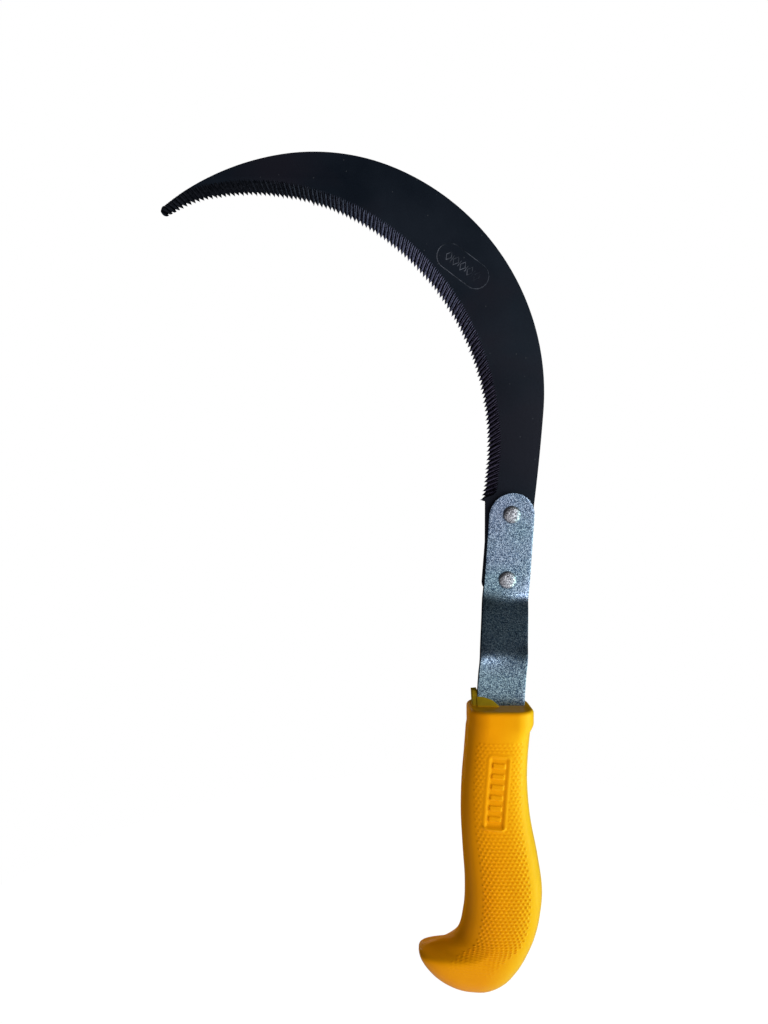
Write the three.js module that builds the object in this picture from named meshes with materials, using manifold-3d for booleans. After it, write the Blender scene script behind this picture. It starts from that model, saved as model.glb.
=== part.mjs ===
// A hand sickle: a crescent blade with ground teeth, riveted to a cranked strap
// whose tang is held inside a moulded handle with a hooked pommel.
//
// Millimetres, +Z up along the tool, -Y towards the side the teeth are ground on.
// Every part is drawn in one design frame with its origin in the middle of the
// handle's mouth. At the end the whole tool is moved so that its own origin is
// in the middle of the grip, where the hand holds it.

import * as THREE from 'three';
import { mergeVertices } from 'three/addons/utils/BufferGeometryUtils.js';
import Module from 'manifold-3d';

// ---- driving dimensions ----

const FIT_GAP = 0.3;              // clearance round anything that sits inside another part
const FACE_GAP = 0.05;            // clearance between faces that bear on each other

const STRAP_THICKNESS = 3;
const STRAP_WIDTH = 20;
const STRAP_TOP = 89.7;
const CRANK_RISE = 15;            // how far the crank carries the blade behind the handle
const CRANK_UPPER_BEND = 44;
const CRANK_LOWER_BEND = 18;
const CRANK_RADIUS = 16;          // to the middle of the strap
const TANG_WIDTH = 12;
const TANG_END = -72;
const TANG_SHOULDER = [-8, -20];  // the strap narrows to the tang between these heights
const KEY_HOLES = [-34, -56];     // plastic fills these, so the tang can't pull out
const KEY_HOLE_RADIUS = 3;

const BLADE_THICKNESS = 1.5;
const BLADE_TAIL_END = 46.3;
const TAIL_CORNER_RADIUS = 4;
const TOOTH_COUNT = 118;
const FLUTE_REACH = 1;            // half the width of the wheel that grinds each gullet
const FLUTE_HALF_ANGLE = 61;      // degrees, of the wheel's pointed rim
const FLUTE_LENGTH = 8;           // from the edge to where the flute runs out
const FLUTE_DEPTH = 2.14;         // below the front face, at the edge
const NOSE_DEPTH = 1.72;          // of the last flute, beside the nose
const NOSE_RUN = 14;              // over which the last flutes get shallower
const FLUTE_LEAN = 27;            // degrees, towards the blade's tip
const ROOT_LEAN = 33;             // the first flutes lean further
const ROOT_RUN = 100;             // from the first flute to where the lean has settled

const RIVET_HEIGHTS = [80.1, 51.4];
const RIVET_SHANK_RADIUS = 2.5;
const RIVET_HEAD_RADIUS = 3.9;
const RIVET_HEAD_HEIGHT = 2.2;
const RIVET_TAIL_HEIGHT = 1.6;

const COLLAR_WIDTH = 26.6;
const COLLAR_DEPTH = 27;
const COLLAR_HEIGHT = 5.6;
const COLLAR_CORNER_RADIUS = 8;
const GRIP_MIDDLE = new THREE.Vector3(-1.5, 0, -50);
const GRIP_SIDES = 32;
const GRIP_RINGS = 36;
const GRIP_SQUARENESS = 3;        // superellipse exponent of the back of the grip's sections
const PANEL_TOP = new THREE.Vector2(-1.7, -18.7);
const PANEL_BOTTOM = new THREE.Vector2(-4.1, -46.5);
const PANEL_WIDTH = 7;
const PANEL_FLOOR = 11.7;         // from the tang's middle plane
const PANEL_BARS = 6;
const PANEL_BAR_SHARE = 0.45;     // of the bars' pitch
const PANEL_MARGIN = 1;           // between the bars' ends and the pocket's sides

const PAST_TOOL = 30;             // further than any part reaches sideways or through

const degrees = THREE.MathUtils.degToRad;

// ---- solids ----

const wasm = await Module();
wasm.setup();

function solid(geometry) {
  const bare = geometry.clone();
  bare.deleteAttribute('normal');
  bare.deleteAttribute('uv');
  const merged = mergeVertices(bare, 1e-4);
  return new wasm.Manifold(new wasm.Mesh({
    numProp: 3,
    vertProperties: new Float32Array(merged.attributes.position.array),
    triVerts: new Uint32Array(merged.index.array),
  }));
}

function toMesh(name, body, material) {
  const mesh = body.getMesh();
  const geometry = new THREE.BufferGeometry();
  geometry.setAttribute('position', new THREE.BufferAttribute(mesh.vertProperties, 3));
  geometry.setIndex(new THREE.BufferAttribute(mesh.triVerts, 1));
  geometry.computeVertexNormals();
  const part = new THREE.Mesh(geometry, material);
  part.name = name;
  return part;
}

// Extrudes an outline, without the repeated points where its lines and arcs join.
function extrude(shape, depth, curveSegments) {
  const points = shape.getPoints(curveSegments);
  const distinct = points.filter((point, i) => point.distanceTo(points.at(i - 1)) > 1e-3);
  return new THREE.ExtrudeGeometry(new THREE.Shape(distinct), { depth, bevelEnabled: false });
}

// A front outline in X and Z, made solid between two depths in Y.
function fromFront(shape, yFront, yBack, curveSegments = 12) {
  const geometry = extrude(shape, yBack - yFront, curveSegments);
  const axes = new THREE.Matrix4().makeBasis(
    new THREE.Vector3(1, 0, 0), new THREE.Vector3(0, 0, 1), new THREE.Vector3(0, -1, 0),
  );
  return geometry.applyMatrix4(axes).translate(0, yBack, 0);
}

// A side outline in Y and Z, made solid between two places in X.
function fromSide(shape, xLeft, xRight, curveSegments = 8) {
  const geometry = extrude(shape, xRight - xLeft, curveSegments);
  const axes = new THREE.Matrix4().makeBasis(
    new THREE.Vector3(0, 1, 0), new THREE.Vector3(0, 0, 1), new THREE.Vector3(1, 0, 0),
  );
  return geometry.applyMatrix4(axes).translate(xLeft, 0, 0);
}

// A round bar along Y.
function barAlongY(x, z, radius, yFront, yBack, sides = 24) {
  return new THREE.CylinderGeometry(radius, radius, yBack - yFront, sides)
    .translate(x, (yFront + yBack) / 2, z);
}

// ---- the strap's own lines ----

const STRAP_BEND_ANGLE = Math.atan(CRANK_RISE / (CRANK_UPPER_BEND - CRANK_LOWER_BEND));
const STRAP_BEND_REACH = CRANK_RADIUS * Math.tan(STRAP_BEND_ANGLE / 2);
const STRAP_FRONT = CRANK_RISE - STRAP_THICKNESS / 2;
const STRAP_BACK = CRANK_RISE + STRAP_THICKNESS / 2;
const BLADE_FRONT = STRAP_BACK + FACE_GAP;
const BLADE_BACK = BLADE_FRONT + BLADE_THICKNESS;

// The strap leans a little, and its crank carries it slightly sideways.
const STRAP_CENTRES = [[TANG_END, -2.2], [0, 0.3], [14, 1.2], [CRANK_UPPER_BEND + 4, 5.3], [STRAP_TOP, 8.2]];

function strapCentre(z) {
  const upper = STRAP_CENTRES.findIndex(([height]) => z <= height);
  const above = STRAP_CENTRES[Math.max(upper, 1)];
  const below = STRAP_CENTRES[Math.max(upper, 1) - 1];
  return THREE.MathUtils.mapLinear(z, below[0], above[0], below[1], above[1]);
}

// The strap seen from the side. Growing it by a gap gives the pocket it sits in.
function strapSide(grow) {
  const half = STRAP_THICKNESS / 2 + grow;
  const upperCentre = new THREE.Vector2(CRANK_RISE - CRANK_RADIUS, CRANK_UPPER_BEND + STRAP_BEND_REACH);
  const lowerCentre = new THREE.Vector2(CRANK_RADIUS, CRANK_LOWER_BEND - STRAP_BEND_REACH);
  const [near, far] = [CRANK_RADIUS - half, CRANK_RADIUS + half];
  const angle = STRAP_BEND_ANGLE;
  const shape = new THREE.Shape();
  shape.moveTo(CRANK_RISE + half, STRAP_TOP + 1);
  shape.absarc(upperCentre.x, upperCentre.y, far, 0, -angle, true);
  shape.absarc(lowerCentre.x, lowerCentre.y, near, Math.PI - angle, Math.PI, false);
  shape.lineTo(half, TANG_END - grow);
  shape.lineTo(-half, TANG_END - grow);
  shape.absarc(lowerCentre.x, lowerCentre.y, far, Math.PI, Math.PI - angle, true);
  shape.absarc(upperCentre.x, upperCentre.y, near, -angle, 0, false);
  shape.lineTo(CRANK_RISE - half, STRAP_TOP + 1);
  return fromSide(shape, -PAST_TOOL, PAST_TOOL);
}

// The strap seen from the front: round top, straight sides, shoulders and tang.
function strapFront(grow) {
  const half = STRAP_WIDTH / 2 + grow;
  const tangHalf = TANG_WIDTH / 2 + grow;
  const [shoulderTop, shoulderEnd] = TANG_SHOULDER;
  const roundCentre = STRAP_TOP - STRAP_WIDTH / 2;
  const levels = STRAP_CENTRES.slice(1, -1).map(([height]) => height);
  const shape = new THREE.Shape();
  shape.absarc(strapCentre(roundCentre), roundCentre, half, 0, Math.PI, false);
  for (const z of levels.toReversed()) shape.lineTo(strapCentre(z) - half, z);
  shape.lineTo(strapCentre(shoulderTop) - half, shoulderTop);
  shape.lineTo(strapCentre(shoulderEnd) - tangHalf, shoulderEnd);
  shape.lineTo(strapCentre(TANG_END) - tangHalf, TANG_END - grow);
  shape.lineTo(strapCentre(TANG_END) + tangHalf, TANG_END - grow);
  shape.lineTo(strapCentre(shoulderEnd) + tangHalf, shoulderEnd);
  shape.lineTo(strapCentre(shoulderTop) + half, shoulderTop);
  for (const z of levels) shape.lineTo(strapCentre(z) + half, z);
  return fromFront(shape, -PAST_TOOL, PAST_TOOL, 14);
}

function rivetHole(z) {
  const hole = barAlongY(strapCentre(z), z, RIVET_SHANK_RADIUS + FIT_GAP, STRAP_FRONT - 1, BLADE_BACK + 1);
  return solid(hole);
}

function keyHole(z, radius) {
  return solid(barAlongY(strapCentre(z), z, radius, -3, 3, 20));
}

function makeStrap() {
  let strap = solid(strapSide(0)).intersect(solid(strapFront(0)));
  for (const z of RIVET_HEIGHTS) strap = strap.subtract(rivetHole(z));
  for (const z of KEY_HOLES) strap = strap.subtract(keyHole(z, KEY_HOLE_RADIUS));
  return strap;
}

// ---- blade ----

// Arcs that run smoothly into each other, each a radius and a left-hand sweep in degrees.
class ArcChain {
  constructor(start, heading, arcs) {
    this.arcs = [];
    this.length = 0;
    let point = start.clone();
    let angle = degrees(heading);
    for (const [radius, sweepDegrees] of arcs) {
      const sweep = degrees(sweepDegrees);
      const centre = new THREE.Vector2(-Math.sin(angle), Math.cos(angle)).multiplyScalar(radius).add(point);
      this.arcs.push({ centre, radius, angle, from: this.length, sweep });
      this.length += radius * sweep;
      angle += sweep;
      point = ArcChain.onArc(centre, radius, angle);
    }
  }

  static onArc(centre, radius, heading) {
    return new THREE.Vector2(Math.sin(heading), -Math.cos(heading)).multiplyScalar(radius).add(centre);
  }

  // The point, and the heading there, at a distance along the chain.
  at(distance) {
    const arc = this.arcs.findLast(({ from }) => distance >= from) ?? this.arcs[0];
    const heading = arc.angle + (distance - arc.from) / arc.radius;
    return { point: ArcChain.onArc(arc.centre, arc.radius, heading), heading };
  }

  points(spacing) {
    const steps = Math.round(this.length / spacing);
    return Array.from({ length: steps + 1 }, (_, i) => this.at((i * this.length) / steps).point);
  }
}

const TOOTH_LINE = new ArcChain(
  new THREE.Vector2(-6.2, 86.8), 77.6, [[113.1, 71.3], [95.5, 43.8], [58.7, 17.2]],
);
const SPINE = new ArcChain(
  new THREE.Vector2(18, 85.5), 83, [[900, 2.6], [108, 70.5], [93.5, 33], [112, 29.1]],
);
const TAIL_EDGE = [[-3.8, 86], [-3.9, 68], [-5.3, BLADE_TAIL_END + TAIL_CORNER_RADIUS]];
const TAIL_BACK_X = 13.8;

function bladeBlank() {
  const spine = SPINE.points(5);
  const teeth = TOOTH_LINE.points(5);
  const [spineEnd, toothEnd] = [spine.at(-1), teeth.at(-1)];
  const nose = spineEnd.clone().add(toothEnd).multiplyScalar(0.5);
  const towards = (point) => point.clone().sub(nose).angle();
  const [cornerX] = TAIL_EDGE.at(-1);
  const cornerZ = BLADE_TAIL_END + TAIL_CORNER_RADIUS;
  const shape = new THREE.Shape();
  for (const [x, z] of TAIL_EDGE.toReversed()) {
    if (z === cornerZ) shape.moveTo(x, z);
    else shape.lineTo(x, z);
  }
  for (const point of teeth) shape.lineTo(point.x, point.y);
  shape.absarc(nose.x, nose.y, spineEnd.distanceTo(nose), towards(toothEnd), towards(spineEnd), true);
  for (const point of spine.toReversed()) shape.lineTo(point.x, point.y);
  shape.absarc(TAIL_BACK_X - TAIL_CORNER_RADIUS, cornerZ, TAIL_CORNER_RADIUS, 0, -Math.PI / 2, true);
  shape.absarc(cornerX + TAIL_CORNER_RADIUS, cornerZ, TAIL_CORNER_RADIUS, -Math.PI / 2, -Math.PI, true);
  return solid(fromFront(shape, BLADE_FRONT, BLADE_BACK, 6));
}

// One grinding pass: a round-nosed bar that enters at the edge and climbs out of the front face.
function fluteCutter(distance) {
  const { point, heading } = TOOTH_LINE.at(distance);
  const lean = THREE.MathUtils.mapLinear(Math.min(distance, ROOT_RUN), 0, ROOT_RUN, ROOT_LEAN, FLUTE_LEAN);
  const course = heading - Math.PI / 2 + degrees(lean);
  const fading = THREE.MathUtils.smoothstep(distance, TOOTH_LINE.length - NOSE_RUN, TOOTH_LINE.length);
  const depth = THREE.MathUtils.lerp(FLUTE_DEPTH, NOSE_DEPTH, fading);
  const climb = -depth / FLUTE_LENGTH;
  const along = new THREE.Vector3(Math.cos(course), climb, Math.sin(course)).normalize();
  const across = new THREE.Vector3(-Math.sin(course), 0, Math.cos(course));
  const outwards = new THREE.Vector3().crossVectors(along, across);
  const [before, after] = [3, FLUTE_LENGTH + 3];
  const shoulder = FLUTE_REACH / Math.tan(degrees(FLUTE_HALF_ANGLE));
  const rim = new THREE.Shape();
  rim.moveTo(0, 0);
  rim.lineTo(FLUTE_REACH, shoulder);
  rim.lineTo(FLUTE_REACH, 2 * FLUTE_DEPTH);
  rim.lineTo(-FLUTE_REACH, 2 * FLUTE_DEPTH);
  rim.lineTo(-FLUTE_REACH, shoulder);
  const start = new THREE.Vector3(point.x, BLADE_FRONT + depth, point.y)
    .addScaledVector(along, -before);
  const axes = new THREE.Matrix4().makeBasis(across, outwards, along).setPosition(start);
  return solid(extrude(rim, before + after, 1).applyMatrix4(axes));
}

function makeBlade() {
  const pitch = TOOTH_LINE.length / TOOTH_COUNT;
  let blade = bladeBlank();
  for (let gullet = 0; gullet < TOOTH_COUNT; gullet += 1) {
    blade = blade.subtract(fluteCutter((gullet + 0.5) * pitch));
  }
  for (const z of RIVET_HEIGHTS) blade = blade.subtract(rivetHole(z));
  return blade;
}

// ---- rivets ----

// Half of a domed head, from its crown to its rim, as radius and height pairs.
function dome(radius, height, base, side, steps = 5) {
  const ball = (radius * radius + height * height) / (2 * height);
  const reach = Math.asin(radius / ball);
  return Array.from({ length: steps + 1 }, (_, i) => {
    const angle = (reach * i) / steps;
    const rise = ball * Math.cos(angle) - (ball - height);
    return new THREE.Vector2(ball * Math.sin(angle), base + side * rise);
  });
}

function makeRivet(z) {
  const frontBase = STRAP_FRONT - FACE_GAP;
  const backBase = BLADE_BACK + FACE_GAP;
  const front = dome(RIVET_HEAD_RADIUS, RIVET_HEAD_HEIGHT, frontBase, -1);
  const back = dome(RIVET_HEAD_RADIUS, RIVET_TAIL_HEIGHT, backBase, 1);
  front[0].x = 0;
  back[0].x = 0;
  const profile = [
    ...front,
    new THREE.Vector2(RIVET_SHANK_RADIUS, frontBase),
    new THREE.Vector2(RIVET_SHANK_RADIUS, backBase),
    ...back.toReversed(),
  ];
  return solid(new THREE.LatheGeometry(profile, 20).translate(strapCentre(z), 0, z));
}

// ---- handle ----

// Stations down the grip: the tooth side and the back of its outline, its half thickness, and the
// exponent of the tooth side of its section, which makes a gable of the hook's upper side.
const GRIP_STATIONS = [
  [-13.4, -2.5, 12.5, -2.5, 12.8, 3],
  [-13.9, -8.2, 12.4, -8.2, 12.7, 3],
  [-14.8, -20, 11.3, -20, 12.5, 3],
  [-15.8, -32, 11.1, -32, 12.5, 3],
  [-16.1, -46, 12.4, -46, 12.9, 3],
  [-15.3, -61, 15.3, -61, 13.4, 3],
  [-14.4, -75, 17.2, -75, 13.5, 3],
  [-15.1, -86.6, 16.2, -86.8, 12.9, 2.6],
  [-18.6, -95.9, 14.1, -95.6, 12.1, 1.9],
  [-29.2, -100.2, 11, -103.3, 11.4, 1.4],
  [-34, -103.2, 7.6, -109.3, 10.6, 3.2],
  [-28.9, -111.3, 2.6, -115.1, 8.4, 3],
  [-20.6, -117.4, -3.8, -118.9, 5, 2.4],
  [-11, -120.3, -10, -120.3, 0.4, 2],
];

// The grip is a round bar whose rings are stretched onto the stations.
function gripBar() {
  const side = (index) => new THREE.SplineCurve(
    GRIP_STATIONS.map((station) => new THREE.Vector2(station[index], station[index + 1])),
  );
  const [toothSide, backSide] = [side(0), side(2)];
  const section = new THREE.SplineCurve(
    GRIP_STATIONS.map((station) => new THREE.Vector2(station[4], station[5])),
  );
  const square = (value, squareness) => Math.sign(value) * Math.abs(value) ** (2 / squareness);
  const bar = new THREE.CylinderGeometry(1, 1, 1, GRIP_SIDES, GRIP_RINGS);
  const position = bar.attributes.position;
  for (let i = 0; i < position.count; i += 1) {
    const down = THREE.MathUtils.clamp(0.5 - position.getY(i), 0, 1);
    const reach = Math.hypot(position.getX(i), position.getZ(i));
    const [half, toothSquareness] = section.getPoint(down).toArray();
    const squareness = position.getX(i) < 0 ? toothSquareness : GRIP_SQUARENESS;
    const across = reach * square(position.getX(i) / (reach || 1), squareness);
    const through = reach * square(position.getZ(i) / (reach || 1), squareness);
    const spot = toothSide.getPoint(down).lerp(backSide.getPoint(down), (1 + across) / 2);
    position.setXYZ(i, spot.x, -through * half, spot.y);
  }
  return solid(bar);
}

function collar() {
  const [halfX, halfY, corner] = [COLLAR_WIDTH / 2, COLLAR_DEPTH / 2, COLLAR_CORNER_RADIUS];
  const shape = new THREE.Shape();
  shape.absarc(halfX - corner, halfY - corner, corner, 0, Math.PI / 2);
  shape.absarc(corner - halfX, halfY - corner, corner, Math.PI / 2, Math.PI);
  shape.absarc(corner - halfX, corner - halfY, corner, Math.PI, Math.PI * 1.5);
  shape.absarc(halfX - corner, corner - halfY, corner, Math.PI * 1.5, Math.PI * 2);
  return solid(extrude(shape, COLLAR_HEIGHT, 9).translate(0, 0, -COLLAR_HEIGHT));
}

// Plastic that crept up the tooth side of the strap when the handle was moulded.
function mouthFlash() {
  const shape = new THREE.Shape();
  shape.moveTo(-11.5, -1);
  shape.lineTo(-11.5, 6);
  shape.lineTo(-9.9, 6.1);
  shape.lineTo(-9.4, 4.2);
  shape.lineTo(-6, 3.5);
  shape.lineTo(-2, 0.3);
  shape.lineTo(-2, -1);
  return solid(fromFront(shape, -2.6, 2.4));
}

// A shallow pocket on the grip's front that leaves plain raised bars across it.
function panelPocket() {
  const run = PANEL_BOTTOM.clone().sub(PANEL_TOP);
  const middle = PANEL_TOP.clone().add(PANEL_BOTTOM).multiplyScalar(0.5);
  const slab = (width, height, along) => {
    const box = new THREE.BoxGeometry(width, 4, height)
      .translate(0, 0, along)
      .rotateY(Math.atan2(-run.x, -run.y))
      .translate(middle.x, -PANEL_FLOOR - 2, middle.y);
    return solid(box);
  };
  const pitch = run.length() / (PANEL_BARS + 0.5);
  let pocket = slab(PANEL_WIDTH, run.length(), 0);
  for (let bar = 0; bar < PANEL_BARS; bar += 1) {
    const along = (bar - (PANEL_BARS - 1) / 2) * pitch;
    pocket = pocket.subtract(slab(PANEL_WIDTH - 2 * PANEL_MARGIN, pitch * PANEL_BAR_SHARE, along));
  }
  return pocket;
}

function makeHandle() {
  let pocket = solid(strapSide(FIT_GAP)).intersect(solid(strapFront(FIT_GAP)));
  for (const z of KEY_HOLES) pocket = pocket.subtract(keyHole(z, KEY_HOLE_RADIUS - FIT_GAP));
  return gripBar().add(collar()).add(mouthFlash()).subtract(pocket).subtract(panelPocket());
}

// ---- materials ----

const blackenedSteel = new THREE.MeshStandardMaterial({ color: 0x16181d, roughness: 0.55, metalness: 0.8 });
const galvanisedSteel = new THREE.MeshStandardMaterial({ color: 0x7f8f9c, roughness: 0.5, metalness: 0.85 });
const brightSteel = new THREE.MeshStandardMaterial({ color: 0xa9adb2, roughness: 0.4, metalness: 0.9 });
const yellowPlastic = new THREE.MeshStandardMaterial({ color: 0xe8a512, roughness: 0.45, metalness: 0 });

// ---- assembly ----

const sickle = new THREE.Group();
sickle.add(toMesh('blade', makeBlade(), blackenedSteel));
sickle.add(toMesh('tang_strap', makeStrap(), galvanisedSteel));
sickle.add(toMesh('rivet_upper', makeRivet(RIVET_HEIGHTS[0]), brightSteel));
sickle.add(toMesh('rivet_lower', makeRivet(RIVET_HEIGHTS[1]), brightSteel));
sickle.add(toMesh('handle', makeHandle(), yellowPlastic));

sickle.position.copy(GRIP_MIDDLE).negate();

export default sickle;
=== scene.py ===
"""The looks of a hand sickle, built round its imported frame.

Shapes are drawn in millimetres in a design frame with its origin in the middle of the
handle's mouth: X towards the spine, -Y towards the ground side of the teeth, +Z up the tool.
"""

import math

import bmesh
import bpy
import numpy as np
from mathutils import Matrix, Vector, noise


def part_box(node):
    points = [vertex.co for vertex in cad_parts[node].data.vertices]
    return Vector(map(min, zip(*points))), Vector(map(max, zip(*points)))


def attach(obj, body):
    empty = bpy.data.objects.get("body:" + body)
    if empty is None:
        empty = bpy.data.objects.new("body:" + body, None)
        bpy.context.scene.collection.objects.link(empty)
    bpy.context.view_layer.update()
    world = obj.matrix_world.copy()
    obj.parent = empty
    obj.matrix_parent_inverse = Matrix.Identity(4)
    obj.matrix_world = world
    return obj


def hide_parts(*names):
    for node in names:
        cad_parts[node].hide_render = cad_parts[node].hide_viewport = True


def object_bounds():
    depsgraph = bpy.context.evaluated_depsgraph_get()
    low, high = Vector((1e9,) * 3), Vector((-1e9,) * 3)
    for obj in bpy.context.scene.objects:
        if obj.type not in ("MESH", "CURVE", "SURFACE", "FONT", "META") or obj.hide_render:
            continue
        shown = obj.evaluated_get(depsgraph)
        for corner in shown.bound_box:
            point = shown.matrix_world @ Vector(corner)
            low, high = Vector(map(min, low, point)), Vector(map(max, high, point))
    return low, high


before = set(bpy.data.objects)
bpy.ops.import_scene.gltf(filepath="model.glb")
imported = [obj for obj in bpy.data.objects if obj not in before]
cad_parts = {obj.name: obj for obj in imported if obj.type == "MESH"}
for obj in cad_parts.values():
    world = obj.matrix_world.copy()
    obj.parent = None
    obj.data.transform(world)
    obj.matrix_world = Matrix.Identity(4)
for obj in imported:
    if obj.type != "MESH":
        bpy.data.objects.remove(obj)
cad_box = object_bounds()

MM = 0.001

# ---- driving dimensions, in millimetres ----

STRAP_THICKNESS = 3.0
STRAP_WIDTH = 20.0
STRAP_TOP = 89.7
STRAP_EDGE_RADIUS = 0.22
CRANK_RISE = 15.0
CRANK_UPPER_BEND = 44.0
CRANK_LOWER_BEND = 18.0
CRANK_RADIUS = 16.0
BEND_CURL = 0.75              # how far the strap's edges curl where it is bent
CURL_REACH = 5.0              # along the strap, each way from the middle of a bend
STRAP_COLUMNS = 12            # of quads across the strap's faces
TANG_STEP, BEND_STEP, FLAT_STEP = 2.0, 0.6, 1.5   # between its rows
TANG_WIDTH = 12.0
TANG_END = -72.0
TANG_SHOULDER = (-8.0, -20.0)
KEY_HOLES = (-34.0, -56.0)
KEY_HOLE_RADIUS = 3.0

BLADE_GAP = 0.05
BLADE_THICKNESS = 1.5
BLADE_EDGE_RADIUS = 0.1
BLADE_TAIL_END = 46.3
TAIL_CORNER_RADIUS = 4.0
TAIL_BACK_X = 13.8
TAIL_EDGE = ((-3.8, 86.0), (-3.9, 68.0), (-5.3, BLADE_TAIL_END + TAIL_CORNER_RADIUS))
OUTLINE_STEP = 1.5
TOOTH_COUNT = 118
FLUTE_REACH = 1.0             # half the width of the wheel that grinds each gullet
FLUTE_HALF_ANGLE = 61.0       # between the wheel's flank and its middle plane
FLUTE_SHOULDER = math.tan(math.radians(90 - FLUTE_HALF_ANGLE))
FLUTE_LENGTH = 8.0
FLUTE_DEPTH = 2.14
NOSE_DEPTH = 1.72             # of the last flute, beside the nose
NOSE_RUN = 14.0
ROOT_LEAN = 33.0              # of the flutes off square to the edge, at the blade's heel
FLUTE_LEAN = 27.0             # and from ROOT_RUN on
ROOT_RUN = 100.0
RIDGE_DROP = 0.485            # from the bottom of a flute up to the ridge beside it
RIDGE_START = 1.0             # in from the edge, where RIDGE_DROP is taken
FINE_DROP = 0.4               # of the finer flutes below the ridges, where they run out
FINE_RUN = 5.2                # from RIDGE_START to that place
FINE_REACH = 0.42
FINE_SHOULDER = 0.6
PLACE_SCATTER = 0.025         # of the grinding from tooth to tooth, as a share of a tooth
DEPTH_SCATTER = 0.03
LEAN_SCATTER = 0.8            # degrees
WHEEL_HEIGHT = 5.0            # of a grinding cutter
OVERRUN = 3.0                 # of a grinding cutter past both of its ends
CUT_CLEARANCE = 1             # of other cutters past the face that they enter

RIVET_SHANK_RADIUS = 2.5
RIVET_HEAD_RADIUS = 3.9
RIVET_HEAD_HEIGHT = 2.2
RIVET_TAIL_HEIGHT = 1.6
RIVET_SQUARENESS = 2.5
RIVET_RIM = 0.35              # the upright rim round each head
RIVET_UNDERCUT = 0.3          # from the rim in to the head's foot
RIVET_SIDES = 64
DENT_SCALE = 0.9              # of the hammer marks on the heads, per millimetre
DENT_DEPTH = 0.1
DENT_SHARE = 0.02             # of a radius

COLLAR_WIDTH = 26.6
COLLAR_DEPTH = 27.0
COLLAR_HEIGHT = 5.6
COLLAR_CORNER = 8.0
COLLAR_EDGE = 1.5
GRIP_SQUARENESS = 3.0         # of the back side of the grip's section
PARTING_HEIGHT = 0.1          # of the mould's parting line
PARTING_WIDTH = 0.35

PANEL_TOP = (-1.7, -18.7)
PANEL_BOTTOM = (-4.1, -46.5)
PANEL_WIDTH = 7.0
PANEL_CORNER = 0.8
PANEL_FLOOR = 11.9            # a plane this far in front of the grip's middle plane
PANEL_SUNK = 0.6              # how much of the way to that plane the panel's floor is sunk
PANEL_BARS = 6
PANEL_RELIEF = 0.55           # of the bars above the floor
PANEL_RIM = 0.2
PANEL_LEDGE = 0.55            # of the rim's lower end
PANEL_MARGIN = 1.9            # round the panel, left clear of dots

DOT_ROW = 1.47                # between rows of dots, along the grip
DOT_STEP = 1.9                # between dots, round the grip
DOT_TOP = 12                  # the rows of dots lie between these distances down the handle
DOT_BOTTOM = 114
DOT_REACH = 10.0              # how far round from the middle of each face they go
DOT_HALF_HEIGHT = 0.52

# ---- the design frame's place in the row frame ----

# Heights on the strap, and where the middle of its width is in X at each.
STRAP_CENTRES = (
    (TANG_END, -2.2), (0, 0.3), (14, 1.2), (CRANK_UPPER_BEND + 4, 5.3), (STRAP_TOP, 8.2),
)


def strap_centre(z):
    """The middle of the strap across its width, at a height."""
    heights, centres = zip(*STRAP_CENTRES)
    return np.interp(z, heights, centres)


def handle_mouth():
    """The design frame's origin in the row frame, from the strap's box and a rivet."""
    low, high = (np.array(corner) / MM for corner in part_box("tang_strap"))
    rivet = sum(np.array(corner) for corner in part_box("rivet_lower")) / 2 / MM
    z = high[2] - STRAP_TOP
    return np.array([rivet[0] - strap_centre(rivet[2] - z), low[1] + STRAP_THICKNESS / 2, z])


MOUTH = handle_mouth()


def rivet_height(node):
    """How high a rivet is in the design frame."""
    low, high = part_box(node)
    return (low.z + high.z) / 2 / MM - MOUTH[2]


STRAP_FRONT = CRANK_RISE - STRAP_THICKNESS / 2
BLADE_FRONT = CRANK_RISE + STRAP_THICKNESS / 2 + BLADE_GAP
BLADE_BACK = BLADE_FRONT + BLADE_THICKNESS
RIVETS = {node: rivet_height(node) for node in ("rivet_upper", "rivet_lower")}

# ---- meshes ----


def smooth(low, high, value):
    """0 below low, 1 above high, and a smooth rise between them."""
    t = np.clip((np.asarray(value, float) - low) / (high - low), 0, 1)
    return t * t * (3 - 2 * t)


def grid_faces(rows, columns, closed):
    """Quads between the points of a lattice, whose rows close on themselves or don't."""
    index = np.arange(rows * columns).reshape(rows, columns)
    if closed:
        index = np.hstack([index, index[:, :1]])
    corners = (index[:-1, :-1], index[:-1, 1:], index[1:, 1:], index[1:, :-1])
    return np.stack([corner.ravel() for corner in corners], axis=1).tolist()


def lofted(rings):
    """Points and faces of a closed body through rings of points, with flat ends."""
    rings = np.asarray(rings, float)
    rows, columns = rings.shape[:2]
    faces = grid_faces(rows, columns, True)
    last = (rows - 1) * columns
    faces.append(list(range(columns))[::-1])
    faces.append(list(range(last, last + columns)))
    return rings.reshape(-1, 3), faces


def joined(bodies):
    """Several (points, faces) bodies as one."""
    points, faces, start = [], [], 0
    for body_points, body_faces in bodies:
        points.append(body_points)
        faces += [[start + corner for corner in face] for face in body_faces]
        start += len(body_points)
    return np.vstack(points), faces


def make_object(name, body):
    """An object of a (points, faces) body, in the row frame, with no repeated points."""
    points, faces = body
    mesh = bpy.data.meshes.new(name)
    mesh.from_pydata(((points + MOUTH) * MM).tolist(), [], faces)
    clean = bmesh.new()
    clean.from_mesh(mesh)
    bmesh.ops.remove_doubles(clean, verts=clean.verts, dist=0.002 * MM)
    bmesh.ops.recalc_face_normals(clean, faces=clean.faces)
    clean.to_mesh(mesh)
    clean.free()
    thing = bpy.data.objects.new(name, mesh)
    bpy.context.scene.collection.objects.link(thing)
    return thing


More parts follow.
